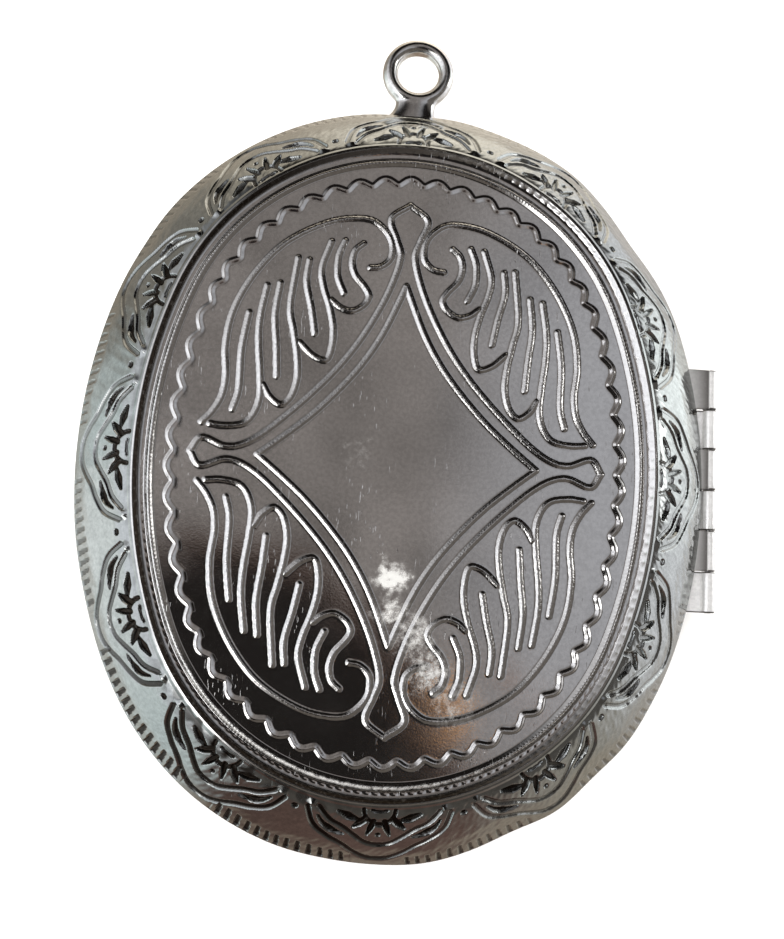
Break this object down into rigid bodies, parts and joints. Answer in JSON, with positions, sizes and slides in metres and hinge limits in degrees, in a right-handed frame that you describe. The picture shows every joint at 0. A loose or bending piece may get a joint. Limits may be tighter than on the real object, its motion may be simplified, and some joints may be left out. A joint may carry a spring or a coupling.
{
  "type": "oval locket",
  "caption": "Hinged oval locket of stamped silver-plated metal with a raised shell and feather border, a lozenge field and a ring for a chain.",
  "frame": {"origin": "centre of the flat that the back rests on", "axes": "+Z from the back to the decorated front, +Y towards the neck ring, +X towards the hinge"},
  "size_m": [0.0414, 0.0545, 0.0085],
  "materials": {
    "silver_front": "polished silver plate with dark tarnish in the recesses",
    "silver_back": "polished silver plate with fine scratches",
    "pin_steel": "drawn wire"
  },
  "bodies": {
    "back": {"back_cover": "silver_back", "hinge_pin": "pin_steel"},
    "front": {"front_cover": "silver_front"}
  },
  "joints": [
    {"name": "lid_hinge", "type": "hinge", "parent": "back", "child": "front", "pos_m": [0.0207, 0, 0.0042], "axis": [0, 1, 0], "range_deg": [0, 170]}
  ]
}
